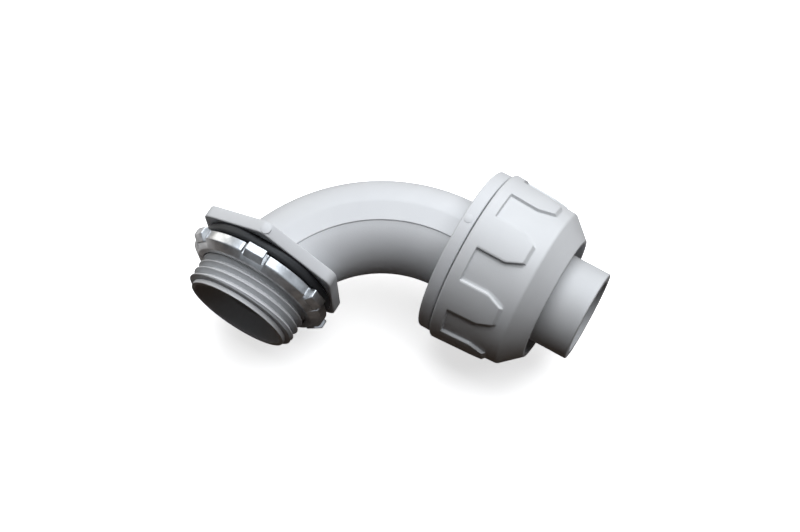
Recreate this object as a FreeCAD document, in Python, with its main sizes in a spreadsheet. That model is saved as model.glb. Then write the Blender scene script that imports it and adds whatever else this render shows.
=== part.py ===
import FreeCAD
import Part
import Sketcher
import math
import os

# Right-angle liquidtight conduit connector, three-quarter inch trade size, millimetres.
# The origin is the centre of the flange's sealing face. The threaded nose points to -Y,
# the conduit end points to +X, and the plane of the bend is flat, with +Z up.

doc = FreeCAD.newDocument("elbow_connector")
sheet = doc.addObject("Spreadsheet::Sheet", "Sizes")


# Sizes that can be added and scaled and keep the words of their formula
class Size:
    def __init__(self, number, words):
        self.number = number
        self.words = words

    def __add__(self, other):
        return Size(self.number + other.number, "(" + self.words + " + " + other.words + ")")

    def __sub__(self, other):
        return Size(self.number - other.number, "(" + self.words + " - " + other.words + ")")

    def __neg__(self):
        return Size(-self.number, "(0 mm - " + self.words + ")")

    def __mul__(self, factor):
        return Size(self.number * factor, "(" + self.words + " * " + str(factor) + ")")


row_count = 0


def size(alias, number, unit="mm"):
    global row_count
    row_count = row_count + 1
    cell = "B" + str(row_count)
    sheet.set("A" + str(row_count), alias)
    sheet.set(cell, str(number))
    sheet.setAlias(cell, alias)
    return Size(number, "(Sizes." + alias + " * 1 " + unit + ")")


zero = Size(0.0, "0 mm")
half = 0.5
cut_past = 1.5
axis_length = 10.0
quarter_turn = 90.0
full_turn = 360.0
tolerance = 0.01

# Threaded nose
nose_radius = size("nose_radius", 12.9)
nose_root_radius = size("nose_root_radius", 13.1)
nose_straight = size("nose_straight", 6.0)
nose_runout = size("nose_runout", 0.45)
nose_lead = size("nose_lead", 0.5)
nose_lead_radius = size("nose_lead_radius", 11.9)
nose_chamfer = size("nose_chamfer", 0.35)
nose_length = size("nose_length", 13.45)
mouth_radius = size("mouth_radius", 10.5)
mouth_depth = size("mouth_depth", 4.2)

# Six-sided flange, one corner up
flange_flats = size("flange_flats", 32.6)
flange_thickness = size("flange_thickness", 3.0)
flange_corner = size("flange_corner", 1.6)
flange_edge = size("flange_edge", 0.35)

# Swept tube with a flat land along its top and its underside
bend_radius = size("bend_radius", 33.8)
bend_sink = size("bend_sink", 8.5)
tube_outer_radius = size("tube_outer_radius", 10.55)
tube_inner_radius = size("tube_inner_radius", 10.4)
land_height = size("land_height", 10.36)
land_reach = size("land_reach", 2.6)
bore_radius = size("bore_radius", 8.5)

# Round collar and the sleeve that carries the nut's thread
collar_start = size("collar_start", 34.9)
collar_thickness = size("collar_thickness", 3.0)
collar_radius = size("collar_radius", 19.5)
collar_round = size("collar_round", 0.4)
sleeve_radius = size("sleeve_radius", 16.9)
sleeve_bore_radius = size("sleeve_bore_radius", 14.2)
sleeve_length = size("sleeve_length", 12.3)

# Ferrule that the conduit is pushed over
ferrule_radius = size("ferrule_radius", 10.5)
ferrule_bore_radius = size("ferrule_bore_radius", 8.6)
ferrule_root_radius = size("ferrule_root_radius", 10.8)
ferrule_length = size("ferrule_length", 29.0)
ferrule_straight = size("ferrule_straight", 7.85)
ferrule_chamfer = size("ferrule_chamfer", 0.35)
ferrule_foot_radius = size("ferrule_foot_radius", 13.9)
ferrule_foot_thickness = size("ferrule_foot_thickness", 1.6)

# Compression nut, lengths counted from its collar side
nut_gap = size("nut_gap", 0.3)
nut_band_radius = size("nut_band_radius", 20.35)
nut_tip_radius = size("nut_tip_radius", 19.65)
nut_floor_radius = size("nut_floor_radius", 19.1)
nut_band_length = size("nut_band_length", 2.85)
nut_pad_reach = size("nut_pad_reach", 13.2)
nut_band_round = size("nut_band_round", 0.5)
recess_half_width = size("recess_half_width", 3.4)
recess_flare_start = size("recess_flare_start", 9.2)
recess_flare_half_width = size("recess_flare_half_width", 5.25)
recess_count = size("recess_count", 8, "")
nut_shoulder_reach = size("nut_shoulder_reach", 15.9)
nut_shoulder_radius = size("nut_shoulder_radius", 18.75)
nut_shoulder_round = size("nut_shoulder_round", 1.1)
nut_length = size("nut_length", 20.5)
nut_rim_radius = size("nut_rim_radius", 14.55)
nut_hole_radius = size("nut_hole_radius", 13.75)
nut_thread_clearance = size("nut_thread_clearance", 0.35)
nut_thread_depth = size("nut_thread_depth", 13.2)
nut_cone_depth = size("nut_cone_depth", 18.4)
nut_phase = size("nut_phase", -19.6, "deg")

# Split gland ring inside the nut
gland_gap = size("gland_gap", 0.3)
gland_length = size("gland_length", 5.0)
gland_radius = size("gland_radius", 16.85)
gland_land = size("gland_land", 0.8)
gland_tip_radius = size("gland_tip_radius", 14.3)
gland_bore_radius = size("gland_bore_radius", 13.6)
gland_split = size("gland_split", 1.6)

# Sealing gasket
gasket_clearance = size("gasket_clearance", 0.25)
gasket_radius = size("gasket_radius", 16.2)
gasket_thickness = size("gasket_thickness", 2.45)
gasket_round = size("gasket_round", 0.9)

# Stamped locknut with bent lugs, depths counted from the sealing face
locknut_clearance = size("locknut_clearance", 0.2)
locknut_seat = size("locknut_seat", 2.5)
locknut_rim_start = size("locknut_rim_start", 2.75)
locknut_rim_end = size("locknut_rim_end", 5.05)
locknut_rim_radius = size("locknut_rim_radius", 16.7)
locknut_hub_radius = size("locknut_hub_radius", 14.7)
locknut_front = size("locknut_front", 6.45)
locknut_dish_radius = size("locknut_dish_radius", 15.6)
locknut_dish_hub = size("locknut_dish_hub", 14.2)
locknut_dish_depth = size("locknut_dish_depth", 4.2)
notch_radius = size("notch_radius", 15.6)
notch_half_width = size("notch_half_width", 2.95)
lug_radius = size("lug_radius", 17.7)
lug_half_width = size("lug_half_width", 2.28)
lug_end = size("lug_end", 4.7)
lug_count = size("lug_count", 6, "")
lug_phase = size("lug_phase", 2.8, "deg")

doc.recompute()

conduit_height = bend_radius - bend_sink
collar_end = collar_start + collar_thickness


def bind(thing, place, value):
    thing.setExpression(place, value.words)


def new_body(name):
    body = doc.addObject("PartDesign::Body", name)
    body.Label = name
    return body


def plane_of(body, role):
    for feature in body.Origin.OriginFeatures:
        if feature.Role == role:
            return feature
    raise RuntimeError("no plane " + role)


def new_sketch(body, name, role):
    sketch = body.newObject("Sketcher::SketchObject", name)
    sketch.AttachmentSupport = [(plane_of(body, role), "")]
    sketch.MapMode = "FlatFace"
    return sketch


# Holds one point of a sketch at two sizes from the sketch's origin
def hold_point(sketch, line, end, across, along):
    for kind, axis, value in (("DistanceX", -2, across), ("DistanceY", -1, along)):
        if value is zero:
            sketch.addConstraint(Sketcher.Constraint("PointOnObject", line, end, axis))
        else:
            index = sketch.addConstraint(Sketcher.Constraint(kind, -1, 1, line, end, value.number))
            bind(sketch, "Constraints[" + str(index) + "]", value)


# Closed outline of straight lines through corners given as pairs of sizes
def outline(sketch, corners):
    points = [FreeCAD.Vector(across.number, along.number, 0) for across, along in corners]
    count = len(points)
    lines = []
    for index in range(count):
        segment = Part.LineSegment(points[index], points[(index + 1) % count])
        lines.append(sketch.addGeometry(segment, False))
    for index in range(count):
        following = lines[(index + 1) % count]
        sketch.addConstraint(Sketcher.Constraint("Coincident", lines[index], 2, following, 1))
    for index in range(count):
        hold_point(sketch, lines[index], 1, corners[index][0], corners[index][1])


# Circle about the sketch's origin
def ring_line(sketch, radius):
    centre = FreeCAD.Vector(0, 0, 0)
    normal = FreeCAD.Vector(0, 0, 1)
    circle = sketch.addGeometry(Part.Circle(centre, normal, radius.number), False)
    sketch.addConstraint(Sketcher.Constraint("Coincident", circle, 3, -1, 1))
    index = sketch.addConstraint(Sketcher.Constraint("Radius", circle, radius.number))
    bind(sketch, "Constraints[" + str(index) + "]", radius)


# Construction line that stands at a distance across or along the sketch
def turning_axis(sketch, upright, distance):
    if upright:
        start = FreeCAD.Vector(distance.number, 0, 0)
        end = FreeCAD.Vector(distance.number, axis_length, 0)
    else:
        start = FreeCAD.Vector(0, distance.number, 0)
        end = FreeCAD.Vector(axis_length, distance.number, 0)
    line = sketch.addGeometry(Part.LineSegment(start, end), True)
    sketch.addConstraint(Sketcher.Constraint("Vertical" if upright else "Horizontal", line))
    if upright:
        hold_point(sketch, line, 1, distance, zero)
    else:
        hold_point(sketch, line, 1, zero, distance)
    sketch.addConstraint(Sketcher.Constraint("Distance", line, axis_length))
    return "Axis0"


# Solid or groove turned from a sketch about one of its axes
def turned(body, kind, name, sketch, axis, angle=full_turn, reversed_way=False):
    feature = body.newObject("PartDesign::" + kind, name)
    feature.Profile = sketch
    feature.ReferenceAxis = (sketch, [axis])
    feature.Angle = angle
    feature.Reversed = reversed_way
    sketch.Visibility = False
    doc.recompute()
    return feature


def padded(body, name, sketch, length, reversed_way=False):
    feature = body.newObject("PartDesign::Pad", name)
    feature.Profile = sketch
    bind(feature, "Length", length)
    feature.Reversed = reversed_way
    sketch.Visibility = False
    doc.recompute()
    return feature


def rounded(body, name, base, edges, radius):
    feature = body.newObject("PartDesign::Fillet", name)
    feature.Base = (base, edges)
    bind(feature, "Radius", radius)
    doc.recompute()
    return feature


# Names of the edges of a feature that pass a test
def edges_where(feature, test):
    names = []
    for number, edge in enumerate(feature.Shape.Edges):
        if test(edge):
            names.append("Edge" + str(number + 1))
    return names


# True for a full or partial circle of this radius with its centre at this place
def circle_at(edge, radius, axis, place):
    if not hasattr(edge, "Curve") or edge.Curve.TypeId != "Part::GeomCircle":
        return False
    centre = edge.Curve.Center
    spot = {"x": centre.x, "y": centre.y}[axis]
    return abs(edge.Curve.Radius - radius.number) < tolerance and abs(spot - place.number) < tolerance


# True for an edge that runs across a body's Y direction at one height
def level_edge(edge):
    return abs(edge.Vertexes[0].Y - edge.Vertexes[-1].Y) < tolerance


# Pocket cut from a sketch past the surface that it opens on
def pocketed(body, name, sketch, length):
    feature = body.newObject("PartDesign::Pocket", name)
    feature.Profile = sketch
    bind(feature, "Length", length)
    feature.Reversed = True
    sketch.Visibility = False
    doc.recompute()
    return feature


# Copies of a feature set evenly round an axis of the body
def patterned(body, name, original, axis_role, count):
    feature = body.newObject("PartDesign::PolarPattern", name)
    feature.Originals = [original]
    feature.Axis = (plane_of(body, axis_role), [""])
    feature.Angle = full_turn
    feature.Occurrences = int(count.number)
    bind(feature, "Occurrences", count)
    body.Tip = feature
    doc.recompute()
    return feature


# Elbow body, one moulding: flange
elbow = new_body("elbow_body")
flange_sketch = new_sketch(elbow, "flange_outline", "XZ_Plane")
half_flat = flange_flats * half
corner_reach = flange_flats * round(1 / math.sqrt(3), 6)
corner_half = corner_reach * half
outline(flange_sketch, [
    (zero, corner_reach),
    (half_flat, corner_half),
    (half_flat, -corner_half),
    (zero, -corner_reach),
    (-half_flat, -corner_half),
    (-half_flat, corner_half),
])
flange = padded(elbow, "flange", flange_sketch, flange_thickness, True)
upright_edges = edges_where(flange, lambda edge: not level_edge(edge))
flange_corners = rounded(elbow, "flange_corners", flange, upright_edges, flange_corner)
rim_edges = edges_where(flange_corners, level_edge)
rounded(elbow, "flange_rim", flange_corners, rim_edges, flange_edge)

# Nose, turned about the nose axis: a slight taper, a straight length, a run-out and a plain lead end
nose_sketch = new_sketch(elbow, "nose_profile", "XY_Plane")
thread_end = nose_runout + nose_lead - nose_length
outline(nose_sketch, [
    (zero, flange_thickness * half),
    (nose_root_radius, flange_thickness * half),
    (nose_root_radius, zero),
    (nose_radius, nose_straight + thread_end),
    (nose_radius, thread_end),
    (nose_lead_radius, nose_lead - nose_length),
    (nose_lead_radius, nose_chamfer - nose_length),
    (nose_lead_radius - nose_chamfer, -nose_length),
    (zero, -nose_length),
])
turned(elbow, "Revolution", "nose", nose_sketch, "V_Axis")

# Tube section: a large outer arc, flat lands, a small step and an inner arc
tube_sketch = new_sketch(elbow, "tube_section", "XZ_Plane")
bind(tube_sketch, "AttachmentOffset.Base.z", bend_sink)
centre = FreeCAD.Vector(0, 0, 0)
normal = FreeCAD.Vector(0, 0, 1)
outer_start = (tube_outer_radius.number ** 2 - land_height.number ** 2) ** 0.5
inner_height = (tube_inner_radius.number ** 2 - land_reach.number ** 2) ** 0.5
outer_turn = math.atan2(land_height.number, -outer_start)
inner_turn = math.atan2(inner_height, land_reach.number)
outer_circle = Part.Circle(centre, normal, tube_outer_radius.number)
inner_circle = Part.Circle(centre, normal, tube_inner_radius.number)
land_end = FreeCAD.Vector(land_reach.number, land_height.number, 0)
land_start = FreeCAD.Vector(-outer_start, land_height.number, 0)
step_foot = FreeCAD.Vector(land_reach.number, inner_height, 0)
low_land_end = FreeCAD.Vector(land_end.x, -land_end.y, 0)
low_land_start = FreeCAD.Vector(land_start.x, -land_start.y, 0)
low_step_foot = FreeCAD.Vector(step_foot.x, -step_foot.y, 0)
outer_line = Part.ArcOfCircle(outer_circle, outer_turn, 2 * math.pi - outer_turn)
inner_line = Part.ArcOfCircle(inner_circle, -inner_turn, inner_turn)
outer_arc = tube_sketch.addGeometry(outer_line, False)
inner_arc = tube_sketch.addGeometry(inner_line, False)
upper_land = tube_sketch.addGeometry(Part.LineSegment(land_start, land_end), False)
upper_step = tube_sketch.addGeometry(Part.LineSegment(land_end, step_foot), False)
lower_step = tube_sketch.addGeometry(Part.LineSegment(low_step_foot, low_land_end), False)
lower_land = tube_sketch.addGeometry(Part.LineSegment(low_land_end, low_land_start), False)
for line, end, other, other_end in (
    (outer_arc, 3, -1, 1),
    (inner_arc, 3, -1, 1),
    (upper_land, 1, outer_arc, 1),
    (upper_land, 2, upper_step, 1),
    (upper_step, 2, inner_arc, 2),
    (lower_step, 1, inner_arc, 1),
    (lower_step, 2, lower_land, 1),
    (lower_land, 2, outer_arc, 2),
):
    tube_sketch.addConstraint(Sketcher.Constraint("Coincident", line, end, other, other_end))
for line, direction in (
    (upper_land, "Horizontal"),
    (lower_land, "Horizontal"),
    (upper_step, "Vertical"),
    (lower_step, "Vertical"),
):
    tube_sketch.addConstraint(Sketcher.Constraint(direction, line))
hold_point(tube_sketch, upper_land, 2, land_reach, land_height)
hold_point(tube_sketch, lower_land, 1, land_reach, -land_height)
for arc, radius in ((outer_arc, tube_outer_radius), (inner_arc, tube_inner_radius)):
    number = tube_sketch.addConstraint(Sketcher.Constraint("Radius", arc, radius.number))
    bind(tube_sketch, "Constraints[" + str(number) + "]", radius)
bend_axis = turning_axis(tube_sketch, True, bend_radius)
turned(elbow, "Revolution", "bend", tube_sketch, bend_axis, quarter_turn, True)

# Collar, the short straight neck behind it and the sleeve, turned about the conduit axis
collar_sketch = new_sketch(elbow, "collar_profile", "XY_Plane")
outline(collar_sketch, [
    (bend_radius, conduit_height),
    (bend_radius, conduit_height + tube_inner_radius),
    (collar_start, conduit_height + tube_inner_radius),
    (collar_start, conduit_height + collar_radius),
    (collar_end, conduit_height + collar_radius),
    (collar_end, conduit_height + sleeve_radius),
    (collar_end + sleeve_length, conduit_height + sleeve_radius),
    (collar_end + sleeve_length, conduit_height + sleeve_bore_radius),
    (collar_end, conduit_height + sleeve_bore_radius),
    (collar_end, conduit_height),
])
conduit_axis = turning_axis(collar_sketch, False, conduit_height)
collar = turned(elbow, "Revolution", "collar", collar_sketch, conduit_axis)
collar_edges = edges_where(collar, lambda edge: circle_at(edge, collar_radius, "x", collar_start)
                           or circle_at(edge, collar_radius, "x", collar_end))
rounded(elbow, "collar_round", collar, collar_edges, collar_round)

# Wireway: flared mouth, bend and outlet
mouth_sketch = new_sketch(elbow, "mouth_profile", "XY_Plane")
outline(mouth_sketch, [
    (zero, -bend_sink),
    (bore_radius, -bend_sink),
    (bore_radius, mouth_depth - nose_length),
    (mouth_radius, -nose_length),
    (zero, -nose_length),
])
turned(elbow, "Groove", "mouth", mouth_sketch, "V_Axis")
way_sketch = new_sketch(elbow, "wireway_section", "XZ_Plane")
bind(way_sketch, "AttachmentOffset.Base.z", bend_sink)
ring_line(way_sketch, bore_radius)
way_axis = turning_axis(way_sketch, True, bend_radius)
turned(elbow, "Groove", "wireway", way_sketch, way_axis, quarter_turn, True)
outlet_sketch = new_sketch(elbow, "outlet_profile", "XY_Plane")
outline(outlet_sketch, [
    (bend_radius, conduit_height),
    (bend_radius, conduit_height + bore_radius),
    (collar_end, conduit_height + bore_radius),
    (collar_end, conduit_height),
])
outlet_axis = turning_axis(outlet_sketch, False, conduit_height)
turned(elbow, "Groove", "outlet", outlet_sketch, outlet_axis)

# Ferrule, turned about its own axis, foot against the collar
ferrule = new_body("conduit_ferrule")
bind(ferrule, "Placement.Base.x", collar_end)
bind(ferrule, "Placement.Base.y", conduit_height)
ferrule_sketch = new_sketch(ferrule, "ferrule_profile", "XY_Plane")
outline(ferrule_sketch, [
    (zero, ferrule_bore_radius),
    (zero, ferrule_foot_radius),
    (ferrule_foot_thickness, ferrule_foot_radius),
    (ferrule_foot_thickness, ferrule_root_radius),
    (ferrule_length - ferrule_chamfer - ferrule_straight, ferrule_radius),
    (ferrule_length - ferrule_chamfer, ferrule_radius),
    (ferrule_length, ferrule_radius - ferrule_chamfer),
    (ferrule_length, ferrule_bore_radius),
])
turned(ferrule, "Revolution", "ferrule_turning", ferrule_sketch, "H_Axis")

# Compression nut: grip ring with recesses first, then the shell that closes their floors
nut = new_body("compression_nut")
nut_thread_radius = sleeve_radius + nut_thread_clearance
bind(nut, "Placement.Base.x", collar_end + nut_gap)
bind(nut, "Placement.Base.y", conduit_height)
nut.Placement.Rotation = FreeCAD.Rotation(FreeCAD.Vector(1, 0, 0), nut_phase.number)
bind(nut, "Placement.Rotation.Angle", nut_phase)
grip_sketch = new_sketch(nut, "grip_profile", "XY_Plane")
outline(grip_sketch, [
    (zero, nut_thread_radius),
    (zero, nut_band_radius - nut_band_round),
    (nut_band_round, nut_band_radius),
    (nut_pad_reach, nut_tip_radius),
    (nut_pad_reach, nut_thread_radius),
])
turned(nut, "Revolution", "grip_ring", grip_sketch, "H_Axis")
recess_sketch = new_sketch(nut, "recess_outline", "XY_Plane")
outline(recess_sketch, [
    (nut_band_length, -recess_half_width),
    (recess_flare_start, -recess_half_width),
    (nut_pad_reach, -recess_flare_half_width),
    (nut_length, -recess_flare_half_width),
    (nut_length, recess_flare_half_width),
    (nut_pad_reach, recess_flare_half_width),
    (recess_flare_start, recess_half_width),
    (nut_band_length, recess_half_width),
])
recess = pocketed(nut, "recess", recess_sketch, nut_band_radius * cut_past)
patterned(nut, "recesses", recess, "X_Axis", recess_count)
shell_sketch = new_sketch(nut, "shell_profile", "XY_Plane")
outline(shell_sketch, [
    (zero, nut_thread_radius),
    (zero, nut_floor_radius),
    (nut_shoulder_reach, nut_shoulder_radius),
    (nut_length, nut_rim_radius),
    (nut_length, nut_hole_radius),
    (nut_cone_depth, nut_hole_radius),
    (nut_thread_depth, nut_thread_radius),
])
shell = turned(nut, "Revolution", "shell", shell_sketch, "H_Axis")
shoulder_edges = edges_where(
    shell, lambda edge: circle_at(edge, nut_shoulder_radius, "x", nut_shoulder_reach))
rounded(nut, "shoulder_round", shell, shoulder_edges, nut_shoulder_round)

# Split gland ring
gland = new_body("gland_ring")
bind(gland, "Placement.Base.x", collar_end + sleeve_length + gland_gap)
bind(gland, "Placement.Base.y", conduit_height)
gland_sketch = new_sketch(gland, "gland_profile", "XY_Plane")
outline(gland_sketch, [
    (zero, gland_bore_radius),
    (zero, gland_radius),
    (gland_land, gland_radius),
    (gland_length, gland_tip_radius),
    (gland_length, gland_bore_radius),
])
turned(gland, "Revolution", "gland_turning", gland_sketch, "H_Axis")
split_sketch = new_sketch(gland, "split_outline", "XY_Plane")
half_split = gland_split * half
outline(split_sketch, [
    (-gland_gap, half_split),
    (gland_length + gland_gap, half_split),
    (gland_length + gland_gap, -half_split),
    (-gland_gap, -half_split),
])
pocketed(gland, "split", split_sketch, gland_radius * cut_past)

# Gasket, round at its outer rim
gasket = new_body("sealing_gasket")
gasket_sketch = new_sketch(gasket, "gasket_profile", "XY_Plane")
gasket_bore = nose_root_radius + gasket_clearance
outline(gasket_sketch, [
    (gasket_bore, zero),
    (gasket_radius, zero),
    (gasket_radius, -gasket_thickness),
    (gasket_bore, -gasket_thickness),
])
gasket_ring = turned(gasket, "Revolution", "gasket_ring", gasket_sketch, "V_Axis")
gasket_edges = edges_where(gasket_ring, lambda edge: circle_at(edge, gasket_radius, "y", zero)
                           or circle_at(edge, gasket_radius, "y", -gasket_thickness))
rounded(gasket, "gasket_rim", gasket_ring, gasket_edges, gasket_round)

# Locknut: dished ring, notches cut through its rim, bent lugs set into them
locknut = new_body("locknut")
locknut.Placement.Rotation = FreeCAD.Rotation(FreeCAD.Vector(0, 1, 0), lug_phase.number)
bind(locknut, "Placement.Rotation.Angle", lug_phase)
locknut_bore = nose_root_radius + locknut_clearance
dish_sketch = new_sketch(locknut, "dish_profile", "XY_Plane")
outline(dish_sketch, [
    (locknut_bore, -locknut_dish_depth),
    (locknut_dish_hub, -locknut_dish_depth),
    (locknut_dish_radius, -locknut_rim_start),
    (locknut_rim_radius, -locknut_rim_start),
    (locknut_rim_radius, -locknut_rim_end),
    (locknut_hub_radius, -locknut_front),
    (locknut_bore, -locknut_front),
])
turned(locknut, "Revolution", "dish", dish_sketch, "V_Axis")
notch_sketch = new_sketch(locknut, "notch_outline", "XZ_Plane")
outline(notch_sketch, [
    (-notch_half_width, notch_radius),
    (notch_half_width, notch_radius),
    (notch_half_width, lug_radius * cut_past),
    (-notch_half_width, lug_radius * cut_past),
])
notch = pocketed(locknut, "notch", notch_sketch, locknut_front * cut_past)
patterned(locknut, "notches", notch, "Y_Axis", lug_count)
lug_sketch = new_sketch(locknut, "lug_outline", "XZ_Plane")
bind(lug_sketch, "AttachmentOffset.Base.z", locknut_seat)
outline(lug_sketch, [
    (-lug_half_width, notch_radius - locknut_clearance),
    (lug_half_width, notch_radius - locknut_clearance),
    (lug_half_width, lug_radius),
    (-lug_half_width, lug_radius),
])
lug = padded(locknut, "lug", lug_sketch, lug_end - locknut_seat)
patterned(locknut, "lugs", lug, "Y_Axis", lug_count)

# Check every object before anything is written
doc.recompute()
for thing in doc.Objects:
    if "Invalid" in thing.State or "Error" in thing.State:
        raise RuntimeError(thing.Name + " did not build")
nodes = [elbow, ferrule, nut, gland, gasket, locknut]
for node in nodes:
    if node.Shape.isNull() or not node.Shape.isValid() or len(node.Shape.Solids) != 1:
        raise RuntimeError(node.Label + " is not one sound solid")
os.makedirs("parts", exist_ok=True)
for node in nodes:
    node.Shape.exportStep("parts/" + node.Label + ".step")
    box = node.Shape.BoundBox
    print(node.Label, round(node.Shape.Volume, 1), [round(edge, 2) for edge in (
        box.XMin, box.XMax, box.YMin, box.YMax, box.ZMin, box.ZMax)])
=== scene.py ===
import bpy
import numpy as np
from mathutils import Matrix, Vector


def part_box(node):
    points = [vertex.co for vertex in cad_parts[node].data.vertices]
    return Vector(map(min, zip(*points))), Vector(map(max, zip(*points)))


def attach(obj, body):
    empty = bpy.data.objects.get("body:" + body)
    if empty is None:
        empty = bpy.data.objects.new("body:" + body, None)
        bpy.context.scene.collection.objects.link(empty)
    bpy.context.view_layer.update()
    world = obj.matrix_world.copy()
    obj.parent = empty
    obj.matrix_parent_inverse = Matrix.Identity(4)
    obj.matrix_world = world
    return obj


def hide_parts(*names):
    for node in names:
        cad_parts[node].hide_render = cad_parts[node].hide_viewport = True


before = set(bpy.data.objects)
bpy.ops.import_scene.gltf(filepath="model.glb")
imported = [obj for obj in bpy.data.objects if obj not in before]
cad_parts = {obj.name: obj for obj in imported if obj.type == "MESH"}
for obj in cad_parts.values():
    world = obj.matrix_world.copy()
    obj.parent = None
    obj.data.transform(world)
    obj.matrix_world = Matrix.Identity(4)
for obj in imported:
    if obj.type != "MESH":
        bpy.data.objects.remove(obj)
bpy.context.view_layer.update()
mm = 0.001
turn = 2 * np.pi
sharp = 0.05    # rounding of a corner that looks sharp or is hidden, in millimetres like the pieces' sizes
hair = 0.01     # allowance where two places are compared


# corner values of a CAD node's box, in millimetres
def nodeBox(node):
    low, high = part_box(node)
    return np.array(low) / mm, np.array(high) / mm


elbowLow = nodeBox("elbow_body")[0]
ferruleLow, ferruleHigh = nodeBox("conduit_ferrule")
nutLow, nutHigh = nodeBox("compression_nut")
gasketLow, gasketHigh = nodeBox("sealing_gasket")
conduitHeight = (ferruleLow[1] + ferruleHigh[1]) / 2
collarEnd = ferruleLow[0]

# each axis: origin, direction along it, and the two directions that its angle runs between
noseAxis = np.array([[0, 0, 0], [0, 1, 0], [-1, 0, 0], [0, 0, 1]], float)
conduitAxis = np.array([[0, conduitHeight, 0], [1, 0, 0], [0, 1, 0], [0, 0, 1]], float)


# even angles from nothing to a quarter turn
def quarterTurn(steps):
    return np.linspace(0, np.pi / 2, steps + 1)


# closed outline through corners (along, across, rounding, spacing of the straight that follows):
# each corner becomes the arc that touches both sides, with a guard point beyond either end of it
def softLoop(corners, steps=6, guard=0.12, guardShare=0.3):
    table = np.array([corner[:3] for corner in corners], float)
    spacing = [corner[3] if len(corner) > 3 else None for corner in corners]
    spot, rounding = table[:, :2], table[:, 2]
    ahead = np.roll(spot, -1, axis=0) - spot
    length = np.linalg.norm(ahead, axis=1)
    ahead = ahead / length[:, None]
    behind = np.roll(ahead, 1, axis=0)
    crossed = behind[:, 0] * ahead[:, 1] - behind[:, 1] * ahead[:, 0]
    veer = np.arctan2(crossed, (behind * ahead).sum(axis=1))
    reach = rounding * np.tan(np.abs(veer) / 2)
    straight = length - reach - np.roll(reach, -1)
    pieces = []
    for i in range(len(corners)):
        first = spot[i] - behind[i] * reach[i]
        sideways = np.array([-behind[i, 1], behind[i, 0]]) * np.sign(veer[i])
        centre = first + sideways * rounding[i]
        swing = np.linspace(0, veer[i], steps + 1)[:, None]
        arm = first - centre
        turned = np.array([-arm[1], arm[0]])
        pieces.append(centre + arm * np.cos(swing) + turned * np.sin(swing))
        inset = min(guard, straight[i] * guardShare)
        stations = np.array([inset, straight[i] - inset])
        if spacing[i]:
            stations = np.linspace(inset, straight[i] - inset, int(straight[i] / spacing[i]) + 2)
        pieces.append(spot[i] + ahead[i] * (reach[i] + stations)[:, None])
    return np.concatenate(pieces)


# point = origin + direction * along + radius * (cos angle * first + sin angle * second)
def roundAxis(axis, along, radius, angle):
    origin, direction, first, second = axis
    spread = np.cos(angle)[..., None] * first + np.sin(angle)[..., None] * second
    return origin + along[..., None] * direction + radius[..., None] * spread


# a loop of (along, radius) carried once round an axis
def turnedGrid(axis, loop, count, shape=None):
    angle, along = np.meshgrid(np.arange(count) * turn / count, loop[:, 0])
    radius = np.repeat(loop[:, 1:], count, axis=1)
    if shape:
        radius = shape(along, radius, angle)
    return roundAxis(axis, along, radius, angle)


# one mesh from grids that close on themselves both ways, or one way with a cap at either end;
# a grid whose volume comes out negative is turned over
def pieceFromGrids(name, grids, material, body, node, cappedGrids=()):
    points, faces, start = [], [], 0
    for grid, capped in [(grid, False) for grid in grids] + [(grid, True) for grid in cappedGrids]:
        rows, columns = grid.shape[:2]
        index = np.arange(rows * columns).reshape(rows, columns)
        across = np.roll(index, -1, axis=1)
        quads = np.stack([index, across, np.roll(across, -1, axis=0), np.roll(index, -1, axis=0)], axis=-1)
        quads = quads[:, :-1 if capped else None].reshape(-1, 4)
        caps = [index[:, 0], index[::-1, -1]] if capped else []
        flat = grid.reshape(-1, 3)
        a, b, c, d = (flat[quads[:, k]] - flat.mean(axis=0) for k in range(4))
        order = -1 if (a * (np.cross(b, c) + np.cross(c, d))).sum() < 0 else 1
        faces += (quads[:, ::order] + start).tolist() + [(cap[::order] + start).tolist() for cap in caps]
        points.append(flat)
        start += len(flat)
    points = np.concatenate(points) * mm
    mesh = bpy.data.meshes.new(name)
    mesh.from_pydata(points.tolist(), [], faces)
    mesh.polygons.foreach_set("use_smooth", np.ones(len(faces), bool))
    mesh.materials.append(material)
    mesh.validate()
    mesh.update()
    piece = bpy.data.objects.new(name, mesh)
    bpy.context.scene.collection.objects.link(piece)
    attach(piece, body)
    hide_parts(node)
    print("made", name, "with", sum(len(face) - 2 for face in faces), "triangles")


# 0 below the first value, 1 above the second, level at both ends
def easeStep(value, low, high):
    share = np.clip((value - low) / (high - low), 0, 1)
    return share * share * (3 - 2 * share)


# depth of a vee groove, 0 on the crest and 1 at the root, from the share of a pitch to the nearest crest
def grooveDepth(phase, crestHalf, rootHalf):
    away = np.abs(phase - np.round(phase))
    return np.clip((away - crestHalf) / (0.5 - rootHalf - crestHalf), 0, 1)


# sRGB hex to linear
def colour(code):
    share = np.array([int(code[k:k + 2], 16) for k in (1, 3, 5)]) / 255
    linear = np.where(share <= 0.04045, share / 12.92, ((share + 0.055) / 1.055) ** 2.4)
    return (*linear.tolist(), 1.0)


# adds a node, its settings, and for each socket a value or a (node, output) link;
# a Mix node's sockets have numbers, 2 and 3 for its two values, 6 and 7 for its two colours
def addNode(tree, kind, settings=None, sockets=None):
    node = tree.nodes.new(kind)
    for key, value in (settings or {}).items():
        setattr(node, key, value)
    for key, value in (sockets or {}).items():
        if isinstance(value, tuple) and isinstance(value[0], bpy.types.Node):
            tree.links.new(value[0].outputs[value[1]], node.inputs[key])
        else:
            node.inputs[key].default_value = value
    return node


# material with an empty node tree
def newMaterial(name):
    material = bpy.data.materials.new(name)
    material.use_nodes = True
    material.node_tree.nodes.clear()
    return material, material.node_tree


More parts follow.
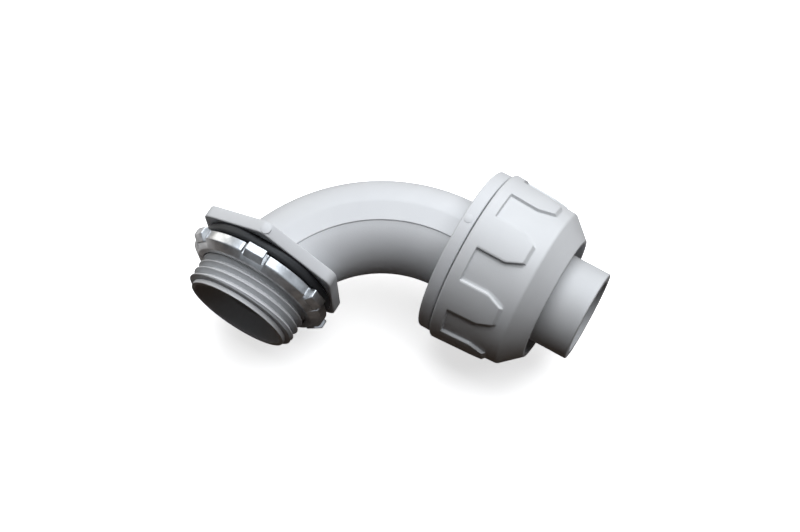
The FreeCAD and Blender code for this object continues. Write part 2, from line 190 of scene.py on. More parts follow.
# moulded PVC blend: near even colour with faint flow clouding, a fine spark-eroded grain, satin;
# nylon and neoprene are made alike, and the grain is drawn coarser than the real one so that it shows
def mouldedPlastic(name, look):
    glossier, duller = 0.05, 0.06    # how far the clouding shifts the roughness
    material, tree = newMaterial(name)
    place = addNode(tree, "ShaderNodeTexCoord")
    cloud = addNode(tree, "ShaderNodeTexNoise", None, {
        "Vector": (place, "Object"), "Scale": 1 / (look["cloudSize"] * mm), "Detail": 3.0,
        "Roughness": 0.55})
    tint = addNode(tree, "ShaderNodeMix", {"data_type": "RGBA"}, {
        "Factor": (cloud, 0), 6: colour(look["dark"]), 7: colour(look["light"])})
    grain = addNode(tree, "ShaderNodeTexNoise", None, {
        "Vector": (place, "Object"), "Scale": 1 / (look["grainSize"] * mm), "Detail": 2.0})
    bump = addNode(tree, "ShaderNodeBump", None, {
        "Height": (grain, 0), "Strength": look["grainStrength"], "Distance": look["grainDepth"] * mm})
    gloss = addNode(tree, "ShaderNodeMapRange", None, {
        "Value": (cloud, 0), "To Min": look["roughness"] - glossier, "To Max": look["roughness"] + duller})
    surface = addNode(tree, "ShaderNodeBsdfPrincipled", None, {
        "Base Color": (tint, 2), "Roughness": (gloss, 0), "Normal": (bump, 0), "IOR": 1.52,
        "Specular IOR Level": look["shine"]})
    addNode(tree, "ShaderNodeOutputMaterial", None, {"Surface": (surface, 0)})
    return material


# zinc plated steel: pale metal with fine rolling marks and patches of duller plating
def zincPlate(name, look):
    duller, glossier = 0.1, 0.06     # how far the patches shift the roughness
    material, tree = newMaterial(name)
    place = addNode(tree, "ShaderNodeTexCoord")
    patch = addNode(tree, "ShaderNodeTexNoise", None, {
        "Vector": (place, "Object"), "Scale": 1 / (look["patchSize"] * mm), "Detail": 4.0})
    tint = addNode(tree, "ShaderNodeValToRGB", None, {"Fac": (patch, 0)})
    for stop, position, code in zip(tint.color_ramp.elements, look["patchRange"], look["tones"]):
        stop.position = position
        stop.color = colour(code)
    marks = addNode(tree, "ShaderNodeTexNoise", None, {
        "Vector": (place, "Object"), "Scale": 1 / (look["markSize"] * mm), "Detail": 2.0})
    bump = addNode(tree, "ShaderNodeBump", None, {
        "Height": (marks, 0), "Strength": look["markStrength"], "Distance": look["markDepth"] * mm})
    gloss = addNode(tree, "ShaderNodeMapRange", None, {
        "Value": (patch, 0), "To Min": look["roughness"] + duller, "To Max": look["roughness"] - glossier})
    surface = addNode(tree, "ShaderNodeBsdfPrincipled", None, {
        "Base Color": (tint, 0), "Metallic": 1.0, "Roughness": (gloss, 0), "Normal": (bump, 0)})
    addNode(tree, "ShaderNodeOutputMaterial", None, {"Surface": (surface, 0)})
    return material


greyMoulding = mouldedPlastic("moulded_grey_pvc", {
    "dark": "#bcbec1", "light": "#c6c8ca", "cloudSize": 9, "grainSize": 0.35,
    "grainStrength": 0.25, "grainDepth": 0.05, "roughness": 0.4, "shine": 0.3})
greyNut = mouldedPlastic("moulded_grey_nut", {
    "dark": "#bfc1c3", "light": "#c8cacc", "cloudSize": 7, "grainSize": 0.35,
    "grainStrength": 0.25, "grainDepth": 0.05, "roughness": 0.38, "shine": 0.3})
greyFerrule = mouldedPlastic("moulded_grey_ferrule", {
    "dark": "#b7b9bb", "light": "#c2c4c6", "cloudSize": 6, "grainSize": 0.3,
    "grainStrength": 0.2, "grainDepth": 0.04, "roughness": 0.42, "shine": 0.3})
naturalNylon = mouldedPlastic("natural_nylon", {
    "dark": "#cfcabb", "light": "#dcd8ca", "cloudSize": 5, "grainSize": 0.3,
    "grainStrength": 0.2, "grainDepth": 0.04, "roughness": 0.45, "shine": 0.4})
blackNeoprene = mouldedPlastic("black_neoprene", {
    "dark": "#0f0f10", "light": "#1a1a1b", "cloudSize": 4, "grainSize": 0.25,
    "grainStrength": 0.4, "grainDepth": 0.05, "roughness": 0.5, "shine": 0.38})
zincSteel = zincPlate("zinc_plated_steel", {
    "tones": ("#a8a8a8", "#d3d3d3"), "patchSize": 2.4, "patchRange": (0.32, 0.68), "markSize": 0.3,
    "markStrength": 0.35, "markDepth": 0.05, "roughness": 0.3})
print("materials ready")

nose = {
    "crestRoot": 13.24,     # crest radius at the flange
    "crest": 13.2,          # crest radius on the straight end
    "crestRound": 0.02,
    "straight": 5.87,
    "lead": 0.95,           # plain ring at the end, behind it a relief groove and then the thread
    "leadRadius": 11.9,
    "leadRound": 0.1,
    "relief": 11.4,
    "reliefRise": 0.12,
    "runout": 0.26,
    "pitch": 1.814,         # 14 threads to the inch
    "crestPlace": -9.87,    # a crest's place along the nose, where the angle is a quarter turn
    "crestOver": 0.05,      # the thread's own crest stands above the plain profile, which trims it
    "grooveDeep": 1.4,
    "crestHalf": 0.04,      # half of the flats on the crest and at the root, as shares of the pitch
    "rootHalf": 0.02,
    "mouth": 11.0,
    "mouthRound": 0.15,
    "mouthDeep": 4.2,
    "bore": 8.5,
    "boreRound": 0.4,
    "boreLength": 0.5,
    "sunk": 1.2,            # part inside the flange, and its inner radius
    "core": 10.4,
    "sunkSpacing": 0.4,
    "spacing": 0.085,
    "columns": 208,
}
lip = elbowLow[1]
reliefFoot = lip + nose["lead"] + nose["reliefRise"]
threadEnd = reliefFoot + nose["runout"]
boreStart = lip + nose["mouthDeep"]
boreEnd = lip + nose["mouthDeep"] + nose["boreLength"]


# nose radius = the lesser of the plain profile and the crest less the helical groove
def threadedNose(along, radius, angle):
    phase = (along - nose["crestPlace"]) / nose["pitch"] - (angle - np.pi / 2) / turn
    deep = nose["grooveDeep"] * grooveDepth(phase, nose["crestHalf"], nose["rootHalf"])
    outside = (radius > nose["relief"]) & (along > threadEnd - hair)
    return np.where(outside, np.minimum(radius, nose["crest"] + nose["crestOver"] - deep), radius)


noseLoop = softLoop([
    (nose["sunk"], nose["crestRoot"], sharp, nose["sunkSpacing"]),
    (0.0, nose["crestRoot"], sharp, nose["spacing"]),
    (threadEnd + nose["straight"], nose["crest"], sharp, nose["spacing"]),
    (threadEnd, nose["crest"], nose["crestRound"], nose["spacing"]),
    (reliefFoot, nose["relief"], sharp),
    (lip + nose["lead"], nose["leadRadius"], sharp),
    (lip, nose["leadRadius"], nose["leadRound"]),
    (lip, nose["mouth"], nose["mouthRound"]),
    (boreStart, nose["bore"], nose["boreRound"]),
    (boreEnd, nose["bore"], sharp),
    (boreEnd, nose["core"], sharp),
    (nose["sunk"], nose["core"], sharp),
], steps=3)
noseGrid = turnedGrid(noseAxis, noseLoop, nose["columns"], threadedNose)

flange = {
    "sides": 6, "flats": 32.6, "thickness": 3.0, "corner": 2.8, "edge": 0.35, "hole": 11.0,
    "cornerSteps": 8, "edgeSteps": 4, "spacing": 1.5,
    "faceRows": (3.2, 1.5),    # rows on both faces, counted in edge roundings from the outline
}


# hexagon with rounded corners, a corner straight up, drawn in by an inset: columns x and z
def flangeOutline(inset):
    reach = (flange["flats"] / 2 - inset) / np.cos(np.pi / flange["sides"])
    angles = [k * turn / flange["sides"] for k in range(flange["sides"])]
    corners = [(reach * np.sin(angle), reach * np.cos(angle), flange["corner"] - inset, flange["spacing"])
               for angle in angles]
    return softLoop(corners, steps=flange["cornerSteps"])


# rows of the flange go from the hole over the lower face, the edge, the side and the upper face
edgeSwing = quarterTurn(flange["edgeSteps"])
faceRows = flange["faceRows"]
insetRows = flange["edge"] * np.concatenate([
    faceRows, 1 - np.sin(edgeSwing), 1 - np.cos(edgeSwing), faceRows[::-1]])
heightRows = np.concatenate([
    np.zeros(len(faceRows)), flange["edge"] * (1 - np.cos(edgeSwing)),
    flange["thickness"] - flange["edge"] * (1 - np.sin(edgeSwing)),
    np.full(len(faceRows), flange["thickness"])])
flangeRows = []
for inset, height in zip(insetRows, heightRows):
    outline = flangeOutline(inset)
    flangeRows.append(np.stack([outline[:, 0], np.full(len(outline), height), outline[:, 1]], axis=-1))
around = np.arctan2(flangeRows[0][:, 2], flangeRows[0][:, 0])
holeRows = [np.stack([flange["hole"] * np.cos(around), np.full(len(around), height),
                      flange["hole"] * np.sin(around)], axis=-1) for height in (flange["thickness"], 0)]
flangeGrid = np.stack(flangeRows + holeRows)

bend = {
    "radius": 33.8, "sink": 8.5, "outer": 10.55, "inner": 10.4, "land": 10.36, "landReach": 2.6,
    "landInset": 0.3, "stepRound": 0.14, "bore": 8.5, "stations": 72, "straightStations": 4,
    "arcPoints": 30, "landPoints": 7, "stepSteps": 4,
}
landStart = np.sqrt(bend["outer"] ** 2 - bend["land"] ** 2)
landRow = np.linspace(landStart - bend["landInset"], bend["landInset"] - bend["landReach"],
                      bend["landPoints"])
stepFoot = np.sqrt(bend["inner"] ** 2 - bend["landReach"] ** 2)
outerSwing = np.linspace(0, np.arctan2(bend["land"], landStart), bend["arcPoints"])
innerSwing = np.linspace(np.arctan2(stepFoot, -bend["landReach"]), np.pi, bend["arcPoints"])
stepSwing = quarterTurn(bend["stepSteps"])
soft = bend["stepRound"]
# upper half of the tube section: outer arc, flat land, rounded step, inner arc; columns outward and up
halfSection = np.concatenate([
    bend["outer"] * np.stack([np.cos(outerSwing), np.sin(outerSwing)], axis=-1),
    np.stack([landRow, np.full(len(landRow), bend["land"])], axis=-1),
    np.stack([soft - bend["landReach"] - soft * np.sin(stepSwing),
              bend["land"] - soft + soft * np.cos(stepSwing)], axis=-1),
    np.stack([-bend["landReach"] - soft + soft * np.cos(stepSwing),
              stepFoot + soft - soft * np.sin(stepSwing)], axis=-1),
    bend["inner"] * np.stack([np.cos(innerSwing[1:]), np.sin(innerSwing[1:])], axis=-1),
])
section = np.concatenate([halfSection, halfSection[-2:0:-1] * [1, -1]])
boreTurn = np.arctan2(section[:, 1], section[:, 0])
boreSection = bend["bore"] * np.stack([np.cos(boreTurn), np.sin(boreTurn)], axis=-1)
# path of the bend: a quarter turn about its centre, then straight into the collar
sweep = np.linspace(0, np.pi / 2, bend["stations"])
bendCentre = np.array([bend["radius"], -bend["sink"]])


# section carried along the bend: place = centre + outward direction * (bend radius + outward), height up
def alongBend(shape):
    outward = np.stack([-np.cos(sweep), np.sin(sweep)], axis=-1)
    flat = bendCentre + outward[:, None, :] * (bend["radius"] + shape[None, :, :1])
    curved = np.concatenate([flat, np.repeat(shape[None, :, 1:], len(sweep), axis=0)], axis=-1)
    ahead = np.linspace(0, collarEnd - bend["radius"], bend["straightStations"] + 1)[1:]
    straight = curved[-1][None] + ahead[:, None, None] * np.array([1.0, 0, 0])
    return np.concatenate([curved, straight])


bendGrid = np.concatenate([alongBend(section), alongBend(boreSection)[::-1]])

collar = {
    "start": 34.9, "radius": 19.5, "round": 0.4, "core": 9.4, "columns": 160,
    "sleeve": 16.9, "sleeveRound": 0.3, "sleeveBore": 14.2, "boreRound": 0.2, "sleeveLength": 12.3,
    "pitch": 2.5, "grooveDeep": 0.9, "crestHalf": 0.1, "rootHalf": 0.1,
    "fadeFrom": 0.6, "fadeTo": 1.6, "fadeOut": 0.6,    # ends of the thread, where its groove fades
    "rows": 64, "rowsFrom": 0.2, "rowsTo": 0.45,    # rows of the thread, and their distance from its ends
}
sleeveEnd = collarEnd + collar["sleeveLength"]


# sleeve radius = plain profile less the helical groove, which fades out at both ends
def threadedSleeve(along, radius, angle):
    phase = along / collar["pitch"] - angle / turn
    begun = easeStep(along, collarEnd + collar["fadeFrom"], collarEnd + collar["fadeTo"])
    fade = begun * (1 - easeStep(along, sleeveEnd - collar["fadeOut"], sleeveEnd))
    deep = fade * collar["grooveDeep"] * grooveDepth(phase, collar["crestHalf"], collar["rootHalf"])
    onSleeve = (radius > collar["sleeve"] - hair) & (along > collarEnd + hair)
    return radius - np.where(onSleeve, deep, 0)


collarLoop = softLoop([
    (collar["start"], collar["core"], sharp),
    (collar["start"], collar["radius"], collar["round"]),
    (collarEnd, collar["radius"], collar["round"]),
    (collarEnd, collar["sleeve"], sharp),
    (sleeveEnd, collar["sleeve"], collar["sleeveRound"]),
    (sleeveEnd, collar["sleeveBore"], collar["boreRound"]),
    (collarEnd, collar["sleeveBore"], sharp),
    (collarEnd, collar["core"], sharp),
], steps=5)
# close rows stand in for the two guard points on the outside of the sleeve
sleeveRows = np.linspace(collarEnd + collar["rowsFrom"], sleeveEnd - collar["rowsTo"], collar["rows"])
sleeveLine = np.stack([sleeveRows, np.full(collar["rows"], collar["sleeve"])], axis=-1)
pastCorner = collarLoop[:, 0] > collarEnd + 2 * sharp
cut = int(np.argmax(pastCorner & (collarLoop[:, 1] > collar["sleeve"] - hair)))
collarLoop = np.concatenate([collarLoop[:cut], sleeveLine, collarLoop[cut + 2:]])
collarGrid = turnedGrid(conduitAxis, collarLoop, collar["columns"], threadedSleeve)

# marks of the ejector pins: flat discs that stand a little proud, on a flange corner and on the collar
pinMarks = [
    {"centre": (0.25, 1.35, 0), "outward": (0, 0, 1), "top": 18.45, "sunk": 1.0, "radius": 1.15},
    {"centre": (36.25, conduitHeight, 0), "outward": (0, -0.03, 1), "top": 19.54, "sunk": 0.5,
     "radius": 1.05},
]
# inset of each row of a mark, and depth below its top of each row after the sunk one
pinEdge = {"points": 48, "drawn": (0, 0, 0, 0.02, 0.06), "below": (0.12, 0.06, 0.02, 0)}


# a mark: a circle carried outwards, drawn in at its rounded top edge
def pinGrid(mark):
    outward = np.array(mark["outward"], float)
    outward = outward / np.linalg.norm(outward)
    side = np.array([1.0, 0, 0])
    ahead = np.cross(outward, side)
    height = mark["top"] - np.array([mark["sunk"], *pinEdge["below"]])
    swing = np.arange(pinEdge["points"])[:, None] * turn / pinEdge["points"]
    reach = (mark["radius"] - np.array(pinEdge["drawn"]))[None, :, None]
    circle = np.cos(swing)[..., None] * side + np.sin(swing)[..., None] * ahead
    return np.array(mark["centre"]) + height[None, :, None] * outward + reach * circle


pinGrids = [pinGrid(mark) for mark in pinMarks]
pieceFromGrids("elbow_moulding", [noseGrid, flangeGrid, bendGrid, collarGrid],
               greyMoulding, "elbow", "elbow_body", pinGrids)

ferrule = {
    "bore": 8.6, "boreRound": 0.2, "foot": 13.9, "footThick": 1.6, "footRound": 0.1, "root": 10.8,
    "rootRound": 0.2, "radius": 10.5, "straight": 7.85, "straightRound": 0.3, "chamfer": 0.35,
    "spacing": 1.0, "columns": 160,
}
ferruleEnd = ferruleHigh[0]
footEnd = ferruleLow[0] + ferrule["footThick"]
taperEnd = ferruleEnd - ferrule["chamfer"] - ferrule["straight"]
ferruleLoop = softLoop([
    (ferruleLow[0], ferrule["bore"], sharp),
    (ferruleLow[0], ferrule["foot"], ferrule["footRound"]),
    (footEnd, ferrule["foot"], ferrule["footRound"]),
    (footEnd, ferrule["root"], ferrule["rootRound"]),
    (taperEnd, ferrule["radius"], ferrule["straightRound"], ferrule["spacing"]),
    (ferruleEnd, ferrule["radius"], ferrule["chamfer"]),
    (ferruleEnd, ferrule["bore"], ferrule["boreRound"]),
])
ferruleGrid = turnedGrid(conduitAxis, ferruleLoop, ferrule["columns"])
pieceFromGrids("ferrule_tube", [ferruleGrid], greyFerrule, "elbow", "conduit_ferrule")

nut = {
    "band": 20.35, "bandRound": 0.5, "bandSteps": 5, "bandLength": 2.85, "tip": 19.65, "floor": 19.7,
    "padReach": 13.2, "padRamp": 1.0, "wall": 0.22, "halfWidth": 3.85, "flareStart": 9.5,
    "flareHalfWidth": 5.6, "recesses": 8, "firstRecess": 71.7,
    "shoulder": 15.9, "shoulderRadius": 18.75, "shoulderRound": 1.1, "shoulderSpacing": 0.5,
    "rim": 14.55, "rimRound": 0.35, "hole": 13.75, "holeRound": 0.2,
    "coneDeep": 18.4, "thread": 17.25, "threadDeep": 13.2, "innerRound": 0.1, "cornerSteps": 6,
    "steps": (5, 6, 8),        # columns over half a recess floor, its wall and half a pad
    # rows over the grip, first, last and count: close together where the recesses start and the pads end
    "rowRuns": ((0.75, 0.75, 1), (1.4, 2.0, 2), (2.4, 3.3, 10), (3.7, 9.0, 8), (9.3, 12.4, 8),
                (12.7, 13.7, 12), (14.0, 14.4, 2)),
}
nutStart = nutLow[0]
nutLength = nutHigh[0] - nutLow[0]
# the shell without the rows over the grip: shoulder, cone, rim, hole, thread wall and start face;
# the last corner only closes the outline, so its arc and two guard points are cut off
closingPoints = nut["cornerSteps"] + 3
shellLoop = softLoop([
    (nut["shoulder"], nut["shoulderRadius"], nut["shoulderRound"], nut["shoulderSpacing"]),
    (nutLength, nut["rim"], nut["rimRound"]),
    (nutLength, nut["hole"], nut["holeRound"]),
    (nut["coneDeep"], nut["hole"], nut["innerRound"]),
    (nut["threadDeep"], nut["thread"], nut["innerRound"]),
    (0, nut["thread"], nut["innerRound"]),
    (0, nut["floor"], sharp),
], steps=nut["cornerSteps"])[:-closingPoints]
bandSwing = quarterTurn(nut["bandSteps"])
edgeRows = np.stack([nut["bandRound"] * (1 - np.cos(bandSwing)),
                     nut["band"] - nut["bandRound"] * (1 - np.sin(bandSwing))], axis=-1)
gripRows = np.concatenate([np.linspace(*run) for run in nut["rowRuns"]])
gripLine = nut["band"] + (nut["tip"] - nut["band"]) * (gripRows - nut["bandRound"]) / (
    nut["padReach"] - nut["bandRound"])
nutLoop = np.concatenate([shellLoop, edgeRows, np.stack([gripRows, gripLine], axis=-1)])


# angles across one sector for rows along an axis, from recess centre to pad centre and mirrored: even steps
# over the floor, close steps over the wall, even steps over the pad; second result is 1 on the floor
def sectorColumns(halfAngle, wallAngle, halfSector, steps):
    floorSteps, wallSteps, padSteps = steps
    floor = np.linspace(0, 1, floorSteps + 1)[:-1]
    wall = np.linspace(0, 1, wallSteps + 1)[:-1]
    pad = np.linspace(0, 1, padSteps + 1)
    edge = halfAngle[:, None]
    half = np.concatenate([
        floor * (edge - wallAngle), edge - wallAngle + 2 * wallAngle * wall,
        edge + wallAngle + (halfSector - edge - wallAngle) * pad], axis=1)
    onFloor = np.concatenate([np.ones(floorSteps), 1 - easeStep(wall, 0, 1), np.zeros(padSteps + 1)])
    angle = np.concatenate([-half[:, -2:0:-1], half], axis=1)
    return angle, np.concatenate([onFloor[-2:0:-1], onFloor])


# the sector repeated round the axis
def aroundSectors(angle, share, count, first):
    centre = np.radians(first) + np.arange(count) * turn / count
    full = (angle[:, None, :] + centre[None, :, None]).reshape(len(angle), -1)
    return full, np.tile(share, count)


# grip radius = pad line less the pad height wherever a recess has begun or the pad has ended
def gripGrid():
    along = nutLoop[:, 0]
    width = np.interp(along, [nut["flareStart"], nut["padReach"]],
                      [nut["halfWidth"], nut["flareHalfWidth"]])
    halfAngle = np.arcsin(width / nut["band"])
    halfWall, halfRamp = nut["wall"] / 2, nut["padRamp"] / 2
    angle, onFloor = sectorColumns(halfAngle, halfWall / nut["band"], np.pi / nut["recesses"], nut["steps"])
    angle, onFloor = aroundSectors(angle, onFloor, nut["recesses"], nut["firstRecess"])
    begun = easeStep(along, nut["bandLength"] - halfWall, nut["bandLength"] + halfWall)
    ended = easeStep(along, nut["padReach"] - halfRamp, nut["padReach"] + halfRamp)
    low = 1 - (1 - onFloor[None, :] * begun[:, None]) * (1 - ended[:, None])
    floorLine = nut["floor"] + (nut["shoulderRadius"] - nut["floor"]) * along / nut["shoulder"]
    high = nutLoop[:, 1:]
    onGrip = (np.arange(len(nutLoop)) >= len(shellLoop) + len(edgeRows))[:, None]
    radius = np.where(onGrip, high + (floorLine[:, None] - high) * low, high)
    return roundAxis(conduitAxis, np.broadcast_to(along[:, None] + nutStart, angle.shape), radius, angle)


pieceFromGrids("grip_nut", [gripGrid()], greyNut, "nut", "compression_nut")

gasket = {"bore": 13.35, "boreRound": 0.1, "round": 0.9, "columns": 160}
gasketRadius = gasketHigh[0]
gasketLoop = softLoop([
    (gasketHigh[1], gasket["bore"], gasket["boreRound"]),
    (gasketHigh[1], gasketRadius, gasket["round"]),
    (gasketLow[1], gasketRadius, gasket["round"]),
    (gasketLow[1], gasket["bore"], gasket["boreRound"]),
])
gasketGrid = turnedGrid(noseAxis, gasketLoop, gasket["columns"])
pieceFromGrids("neoprene_gasket", [gasketGrid], blackNeoprene, "gasket", "sealing_gasket")

locknut = {
    "bore": 13.3, "backRound": 0.1, "dish": 4.2, "dishHub": 14.2, "dishHubRound": 0.3, "dishRadius": 15.6,
    "dishRound": 0.2, "rimStart": 2.75, "rimStartRound": 0.3, "rimRadius": 16.7, "rimEnd": 5.05,
    "rimEndRound": 0.45, "hub": 14.7, "hubRound": 0.6, "front": 6.45, "frontRound": 0.25,
    "notch": 16.1, "notchHalf": 2.95, "wall": 0.3, "lugs": 6, "firstLug": 92.8,
    "lugHalf": 2.28, "lugRadius": 17.7, "lugStart": 2.5, "lugEnd": 4.5, "lugFoot": 5.9,
    "lugRound": 0.22, "lugCorner": 0.3, "lugSunk": 0.3,
    "lugCap": 0.5,             # how far the caps on a lug's ends are drawn in
    "steps": (5, 5, 9),        # columns over half a notch, its wall and half of what is between
}
locknutLoop = softLoop([
    (-locknut["dish"], locknut["bore"], locknut["backRound"]),
    (-locknut["dish"], locknut["dishHub"], locknut["dishHubRound"]),
    (-locknut["rimStart"], locknut["dishRadius"], locknut["dishRound"]),
    (-locknut["rimStart"], locknut["rimRadius"], locknut["rimStartRound"]),
    (-locknut["rimEnd"], locknut["rimRadius"], locknut["rimEndRound"]),
    (-locknut["front"], locknut["hub"], locknut["hubRound"]),
    (-locknut["front"], locknut["bore"], locknut["frontRound"]),
])


# locknut radius = turned profile, cut back to the notch radius across each notch
def notchedGrid():
    along = locknutLoop[:, 0]
    halfAngle = np.full(len(along), np.arcsin(locknut["notchHalf"] / locknut["rimRadius"]))
    wallAngle = locknut["wall"] / 2 / locknut["rimRadius"]
    angle, inNotch = sectorColumns(halfAngle, wallAngle, np.pi / locknut["lugs"], locknut["steps"])
    angle, inNotch = aroundSectors(angle, inNotch, locknut["lugs"], locknut["firstLug"])
    radius = locknutLoop[:, 1:]
    radius = radius - np.maximum(radius - locknut["notch"], 0) * inNotch
    return roundAxis(noseAxis, np.broadcast_to(along[:, None], angle.shape), radius, angle)


# a lug: rounded outline of (along, radius) carried sideways, drawn in at both ends so that they round over
def lugGrid(lug):
    swing = quarterTurn(steps=3)
    ends = locknut["lugRound"] * np.sin(swing)
    level = locknut["lugHalf"] - locknut["lugRound"]
    side = np.concatenate([[-level - ends[-1]], -level - ends[::-1], level + ends, [level + ends[-1]]])
    inset = np.concatenate([[locknut["lugCap"]], locknut["lugRound"] * (1 - np.cos(swing[::-1])),
                            locknut["lugRound"] * (1 - np.cos(swing)), [locknut["lugCap"]]])
    columns = []
    for reach, drawn in zip(side, inset):
        base = locknut["notch"] - locknut["lugSunk"] + drawn
        loop = softLoop([
            (-locknut["lugStart"] - drawn, base, locknut["lugCorner"]),
            (-locknut["lugStart"] - drawn, locknut["lugRadius"] - drawn, locknut["lugCorner"]),
            (-locknut["lugEnd"] + drawn, locknut["lugRadius"] - drawn, locknut["lugCorner"]),
            (-locknut["lugFoot"] + drawn, base, locknut["lugCorner"]),
        ], steps=4)
        columns.append(np.column_stack([loop, np.full(len(loop), reach)]))
    grid = np.stack(columns, axis=1)
    centre = np.radians(locknut["firstLug"]) + lug * turn / locknut["lugs"]
    direction, first, second = noseAxis[1:]
    outward = np.cos(centre) * first + np.sin(centre) * second
    sideways = np.cos(centre) * second - np.sin(centre) * first
    return grid[..., :1] * direction + grid[..., 1:2] * outward + grid[..., 2:] * sideways


lugGrids = [lugGrid(lug) for lug in range(locknut["lugs"])]
pieceFromGrids("lugged_locknut", [notchedGrid()], zincSteel, "lock", "locknut", lugGrids)

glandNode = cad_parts["gland_ring"]
glandNode.data.materials.clear()
glandNode.data.materials.append(naturalNylon)
print("pieces ready")

stage = {
    "drop": 0.05, "half": 700, "seen": "#ffffff", "bounce": "#352719", "glow": 0.65,
    # sheetEnd, sheetFade, beyond and centre place the painted pool of light that reflections see on the
    # floor
    "sheetEnd": 20, "sheetFade": 62, "beyond": 0.08, "centre": (-75, 0, 0),
}
# pale floor: white to the eye, a painted pool of light that fades outwards and shows only in reflections,
# and a darker warm surface for the light that it throws back
floorMaterial, tree = newMaterial("studio_paper")
ray = addNode(tree, "ShaderNodeLightPath")
place = addNode(tree, "ShaderNodeTexCoord")
away = addNode(tree, "ShaderNodeVectorMath", {"operation": "DISTANCE"}, {
    0: (place, "Object"), 1: tuple(value * mm for value in stage["centre"])})
# painted pool of light: full strength within sheetEnd of the centre, fading to beyond at sheetFade, for
# glossy rays only
paintedPool = addNode(tree, "ShaderNodeMapRange", None, {
    "Value": (away, "Value"), "From Min": stage["sheetEnd"] * mm, "From Max": stage["sheetFade"] * mm,
    "To Min": 1.0, "To Max": stage["beyond"]})
mirrored = addNode(tree, "ShaderNodeMath", {"operation": "MULTIPLY"}, {
    0: (ray, "Is Glossy Ray"), 1: (paintedPool, 0)})
direct = addNode(tree, "ShaderNodeMath", {"operation": "MAXIMUM"}, {
    0: (ray, "Is Camera Ray"), 1: (ray, "Is Transmission Ray")})
seen = addNode(tree, "ShaderNodeMath", {"operation": "MAXIMUM"}, {0: (direct, 0), 1: (mirrored, 0)})
paper = addNode(tree, "ShaderNodeBsdfDiffuse", None, {"Color": colour(stage["seen"])})
lift = addNode(tree, "ShaderNodeMath", {"operation": "MULTIPLY"}, {0: (direct, 0), 1: stage["glow"]})
glow = addNode(tree, "ShaderNodeEmission", None, {"Color": colour(stage["seen"]), "Strength": (lift, 0)})
white = addNode(tree, "ShaderNodeAddShader", None, {0: (paper, 0), 1: (glow, 0)})
bounce = addNode(tree, "ShaderNodeBsdfDiffuse", None, {"Color": colour(stage["bounce"])})
both = addNode(tree, "ShaderNodeMixShader", None, {0: (seen, 0), 1: (bounce, 0), 2: (white, 0)})
addNode(tree, "ShaderNodeOutputMaterial", None, {"Surface": (both, 0)})
floorLevel = (min(nodeBox(node)[0][2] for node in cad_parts) - stage["drop"]) * mm
half = stage["half"] * mm
floorMesh = bpy.data.meshes.new("studio_floor")
floorMesh.from_pydata([(-half, -half, floorLevel), (half, -half, floorLevel), (half, half, floorLevel),
                       (-half, half, floorLevel)], [], [(0, 1, 2, 3)])
floorMesh.materials.append(floorMaterial)
floor = bpy.data.objects.new("studio_floor", floorMesh)
bpy.context.scene.collection.objects.link(floor)

# world: faint fill, cool from above and warm from below; reflections see a cool room, a pale tent overhead
# and a bright panel in it; white where the eye looks past the floor
fill = {
    "from": (-0.05, 0.6, 0.8), "cool": "#e4edf7", "warm": "#f0b484", "seen": "#ffffff",
    "weak": 0.022, "strong": 0.1, "room": 0.4, "shine": 0.85, "panel": 3.6,
    # how far a direction faces the light, where each change starts and where it is complete
    "fillRange": (0.0, 0.7), "tentRange": (-0.1, 0.45), "panelRange": (0.74, 0.92),
    "coolRange": (-0.3, 0.4),
}
world = bpy.data.worlds.new("studio_air")
bpy.context.scene.world = world
world.use_nodes = True
tree = world.node_tree
tree.nodes.clear()
ray = addNode(tree, "ShaderNodeLightPath")
heading = addNode(tree, "ShaderNodeTexCoord")
facing = addNode(tree, "ShaderNodeVectorMath", {"operation": "DOT_PRODUCT"}, {
    0: (heading, "Generated"), 1: fill["from"]})
# a ramp over the facing for each change: its name, and its values at the start and when complete
ramps = {}
for name, start, end in (("fill", fill["weak"], fill["strong"]), ("tent", fill["room"], fill["shine"]),
                         ("panel", 0.0, fill["panel"]), ("cool", 0.0, 1.0)):
    low, high = fill[name + "Range"]
    ramps[name] = addNode(tree, "ShaderNodeMapRange", None, {
        "Value": (facing, "Value"), "From Min": low, "From Max": high, "To Min": start, "To Max": end})
tent = addNode(tree, "ShaderNodeMath", {"operation": "ADD"}, {
    0: (ramps["tent"], 0), 1: (ramps["panel"], 0)})
level = addNode(tree, "ShaderNodeMix", None, {
    0: (ray, "Is Glossy Ray"), 2: (ramps["fill"], 0), 3: (tent, 0)})
share = addNode(tree, "ShaderNodeMath", {"operation": "MAXIMUM"}, {
    0: (ramps["cool"], 0), 1: (ray, "Is Glossy Ray")})
tone = addNode(tree, "ShaderNodeMix", {"data_type": "RGBA"}, {
    "Factor": (share, 0), 6: colour(fill["warm"]), 7: colour(fill["cool"])})
air = addNode(tree, "ShaderNodeBackground", None, {"Color": (tone, 2), "Strength": (level, 0)})
clear = addNode(tree, "ShaderNodeBackground", None, {"Color": colour(fill["seen"]), "Strength": 1.0})
both = addNode(tree, "ShaderNodeMixShader", None, {0: (ray, "Is Camera Ray"), 1: (air, 0), 2: (clear, 0)})
addNode(tree, "ShaderNodeOutputWorld", None, {"Surface": (both, 0)})


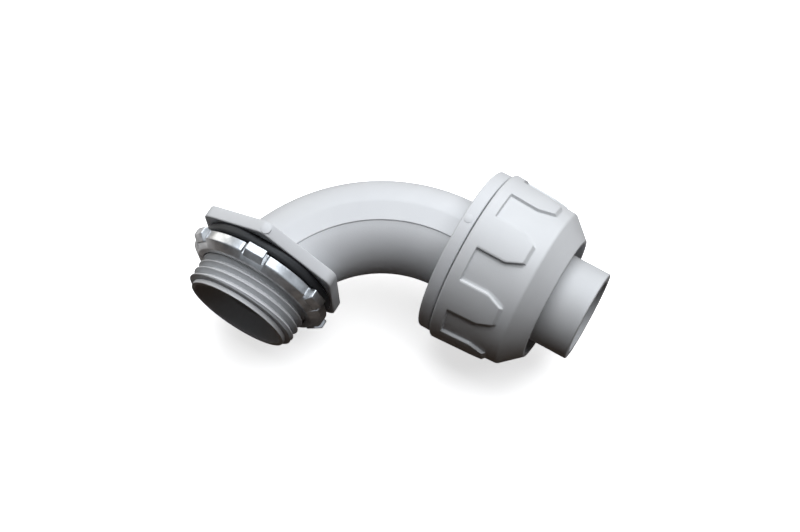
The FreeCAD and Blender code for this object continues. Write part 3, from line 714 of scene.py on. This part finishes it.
# matrix whose columns are three axes and a place
def placeMatrix(side, up, back, spot):
    matrix = np.eye(4)
    matrix[:3] = np.column_stack([side, up, back, spot])
    return Matrix(matrix.tolist())


# square lamp: stands off from the target along a direction and faces it, distance and size in metres;
# a lamp that is not mirrored is left out of reflections, where the world's panel stands for it
def addLamp(name, target, lamp):
    away = np.array(lamp["from"], float)
    away = away / np.linalg.norm(away)
    data = bpy.data.lights.new(name, "AREA")
    data.shape = "SQUARE"
    data.size = lamp["size"]
    data.energy = lamp["power"]
    data.color = colour(lamp["colour"])[:3]
    side = np.cross([0.0, 0.0, 1.0], away)
    side = side / np.linalg.norm(side)
    lampObject = bpy.data.objects.new(name, data)
    spot = target + away * lamp["distance"]
    lampObject.matrix_world = placeMatrix(side, np.cross(away, side), away, spot)
    bpy.context.scene.collection.objects.link(lampObject)
    lampObject.visible_glossy = lamp["mirrored"]


target = np.array([26.0, 10.0, 0.0]) * mm    # near the middle of the part
addLamp("overhead_lamp", target, {
    "from": (0.0, 0.5, 0.86), "distance": 0.9, "size": 1.2, "power": 16.5, "colour": "#fbfcfe",
    "mirrored": False})
addLamp("left_lamp", target, {
    "from": (-0.95, 0.25, 0.18), "distance": 0.9, "size": 0.6, "power": 2.0, "colour": "#fffdf6",
    "mirrored": True})

camera = {
    "lens": 63.0, "sensor": 36.0, "spot": (87.87, -84.49, 289.90),
    "right": (0.8598, 0.5106, -0.0114), "back": (0.2006, -0.3172, 0.9269),
}
right = np.array(camera["right"])
right = right / np.linalg.norm(right)
back = np.array(camera["back"])
back = back - right * (back @ right)
back = back / np.linalg.norm(back)
cameraData = bpy.data.cameras.new("product_camera")
cameraData.sensor_width = camera["sensor"]
cameraData.lens = camera["lens"]
cameraObject = bpy.data.objects.new("product_camera", cameraData)
cameraObject.matrix_world = placeMatrix(right, np.cross(back, right), back, np.array(camera["spot"]) * mm)
bpy.context.scene.collection.objects.link(cameraObject)
bpy.context.scene.camera = cameraObject
bpy.context.scene.view_settings.view_transform = "Standard"
print("stage ready")
